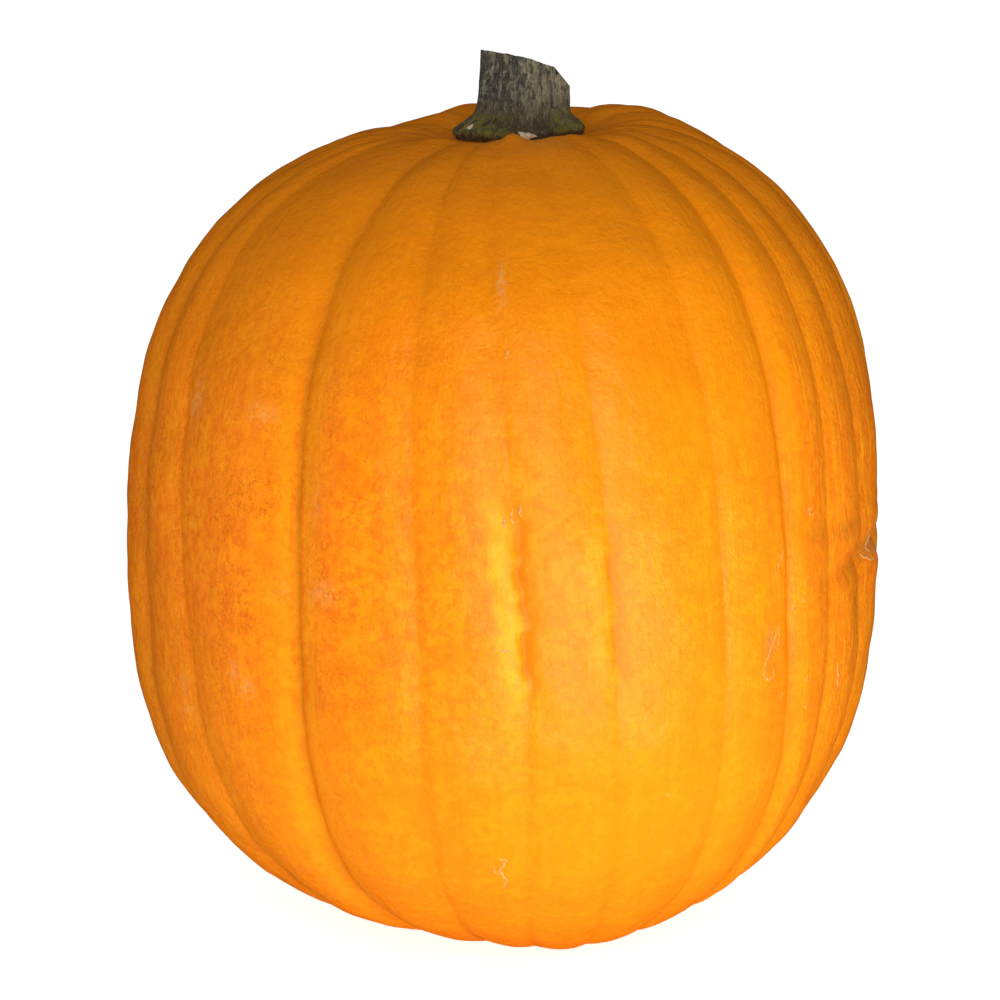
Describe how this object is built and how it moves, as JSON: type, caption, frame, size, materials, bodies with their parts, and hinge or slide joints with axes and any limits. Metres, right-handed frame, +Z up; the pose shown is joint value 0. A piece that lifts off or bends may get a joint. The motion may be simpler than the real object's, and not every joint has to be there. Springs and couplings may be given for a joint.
{
  "type": "pumpkin",
  "caption": "Whole ribbed pumpkin, slightly taller than wide and a little lopsided, standing on a flat spot at its blossom end, with a short, flared, slant-cut dry stem.",
  "frame": {"origin": "middle of the flat spot that the fruit rests on", "axes": "+Z is up, from the flat spot to the stem; -Y is the front, the side that carries the short level scars; +X is the side with the pinched fold"},
  "size_m": [0.2761, 0.278, 0.3235],
  "materials": {
    "rind": "satin",
    "stem_bark": "matte"
  },
  "bodies": {
    "root": {"fruit": "rind", "stem": "stem_bark"}
  },
  "joints": []
}
